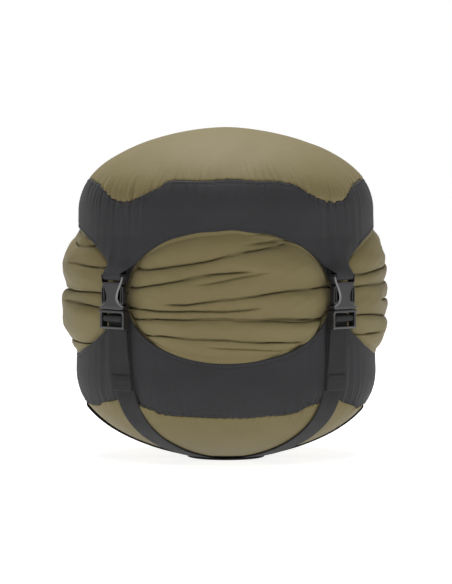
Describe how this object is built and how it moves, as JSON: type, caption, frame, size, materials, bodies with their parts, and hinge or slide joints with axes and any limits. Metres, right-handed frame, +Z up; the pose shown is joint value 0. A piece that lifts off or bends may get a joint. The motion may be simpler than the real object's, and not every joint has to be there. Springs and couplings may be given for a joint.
{
  "type": "compression stuff sack",
  "caption": "Round compression stuff sack with domed cloth ends, scalloped bands, a bulging side wall, a lift-off lid and webbing straps with side-release buckles.",
  "frame": {"origin": "middle of the base, on the surface the sack stands on", "axes": "+Z up along the sack, -Y towards the front panel, straps at 45 degrees to X and Y"},
  "size_m": [0.2842, 0.2842, 0.29],
  "materials": {
    "olive_cloth": "matte nylon taffeta with a soft sheen",
    "charcoal_cloth": "matte oxford nylon",
    "webbing": "ribbed flat-weave webbing",
    "acetal": "satin moulded plastic"
  },
  "bodies": {
    "base": {"bottom_panel": "olive_cloth", "lower_band": "charcoal_cloth", "side_wall": "olive_cloth", "base_patch": "charcoal_cloth", "grab_handle": "webbing", "anchor_strap_1": "webbing", "anchor_strap_2": "webbing", "anchor_strap_3": "webbing", "anchor_strap_4": "webbing"},
    "mouth": {"mouth_collar": "olive_cloth", "mouth_hem": "charcoal_cloth"},
    "lid": {"top_panel": "olive_cloth", "upper_band": "charcoal_cloth", "hanger_loop_1": "webbing", "hanger_loop_2": "webbing", "hanger_loop_3": "webbing", "hanger_loop_4": "webbing", "female_shell_1": "acetal", "female_shell_2": "acetal", "female_shell_3": "acetal", "female_shell_4": "acetal"},
    "male_1": {"male_frame_1": "acetal", "tail_strap_1": "webbing"},
    "prong_left_1": {"prong_left_1": "acetal"},
    "prong_right_1": {"prong_right_1": "acetal"},
    "male_2": {"male_frame_2": "acetal", "tail_strap_2": "webbing"},
    "prong_left_2": {"prong_left_2": "acetal"},
    "prong_right_2": {"prong_right_2": "acetal"},
    "male_3": {"male_frame_3": "acetal", "tail_strap_3": "webbing"},
    "prong_left_3": {"prong_left_3": "acetal"},
    "prong_right_3": {"prong_right_3": "acetal"},
    "male_4": {"male_frame_4": "acetal", "tail_strap_4": "webbing"},
    "prong_left_4": {"prong_left_4": "acetal"},
    "prong_right_4": {"prong_right_4": "acetal"}
  },
  "joints": [
    {"name": "compression", "type": "slide", "parent": "base", "child": "mouth", "axis": [0, 0, 1], "range_m": [0, 0.06]},
    {"name": "lid_lift", "type": "slide", "parent": "mouth", "child": "lid", "axis": [0, 0, 1], "range_m": [0, 0.15]},
    {"name": "release_1", "type": "slide", "parent": "mouth", "child": "male_1", "axis": [0, 0, -1], "range_m": [0, 0.028]},
    {"name": "pinch_left_1", "type": "hinge", "parent": "male_1", "child": "prong_left_1", "pos_m": [-0.10345, -0.08959, 0.1362], "axis": [0.7071, 0.7071, 0], "range_deg": [0, 8], "stiffness_Nm_per_rad": 0.05},
    {"name": "pinch_right_1", "type": "hinge", "parent": "male_1", "child": "prong_right_1", "pos_m": [-0.08959, -0.10345, 0.1362], "axis": [-0.7071, -0.7071, 0], "range_deg": [0, 8], "stiffness_Nm_per_rad": 0.05},
    {"name": "release_2", "type": "slide", "parent": "mouth", "child": "male_2", "axis": [0, 0, -1], "range_m": [0, 0.028]},
    {"name": "pinch_left_2", "type": "hinge", "parent": "male_2", "child": "prong_left_2", "pos_m": [0.08959, -0.10345, 0.1362], "axis": [-0.7071, 0.7071, 0], "range_deg": [0, 8], "stiffness_Nm_per_rad": 0.05},
    {"name": "pinch_right_2", "type": "hinge", "parent": "male_2", "child": "prong_right_2", "pos_m": [0.10345, -0.08959, 0.1362], "axis": [0.7071, -0.7071, 0], "range_deg": [0, 8], "stiffness_Nm_per_rad": 0.05},
    {"name": "release_3", "type": "slide", "parent": "mouth", "child": "male_3", "axis": [0, 0, -1], "range_m": [0, 0.028]},
    {"name": "pinch_left_3", "type": "hinge", "parent": "male_3", "child": "prong_left_3", "pos_m": [0.10345, 0.08959, 0.1362], "axis": [-0.7071, -0.7071, 0], "range_deg": [0, 8], "stiffness_Nm_per_rad": 0.05},
    {"name": "pinch_right_3", "type": "hinge", "parent": "male_3", "child": "prong_right_3", "pos_m": [0.08959, 0.10345, 0.1362], "axis": [0.7071, 0.7071, 0], "range_deg": [0, 8], "stiffness_Nm_per_rad": 0.05},
    {"name": "release_4", "type": "slide", "parent": "mouth", "child": "male_4", "axis": [0, 0, -1], "range_m": [0, 0.028]},
    {"name": "pinch_left_4", "type": "hinge", "parent": "male_4", "child": "prong_left_4", "pos_m": [-0.08959, 0.10345, 0.1362], "axis": [0.7071, -0.7071, 0], "range_deg": [0, 8], "stiffness_Nm_per_rad": 0.05},
    {"name": "pinch_right_4", "type": "hinge", "parent": "male_4", "child": "prong_right_4", "pos_m": [-0.10345, 0.08959, 0.1362], "axis": [-0.7071, 0.7071, 0], "range_deg": [0, 8], "stiffness_Nm_per_rad": 0.05}
  ],
  "couplings": [
    {"joint": "pinch_right_1", "follows": "pinch_left_1", "ratio": 1},
    {"joint": "pinch_right_2", "follows": "pinch_left_2", "ratio": 1},
    {"joint": "pinch_right_3", "follows": "pinch_left_3", "ratio": 1},
    {"joint": "pinch_right_4", "follows": "pinch_left_4", "ratio": 1}
  ]
}
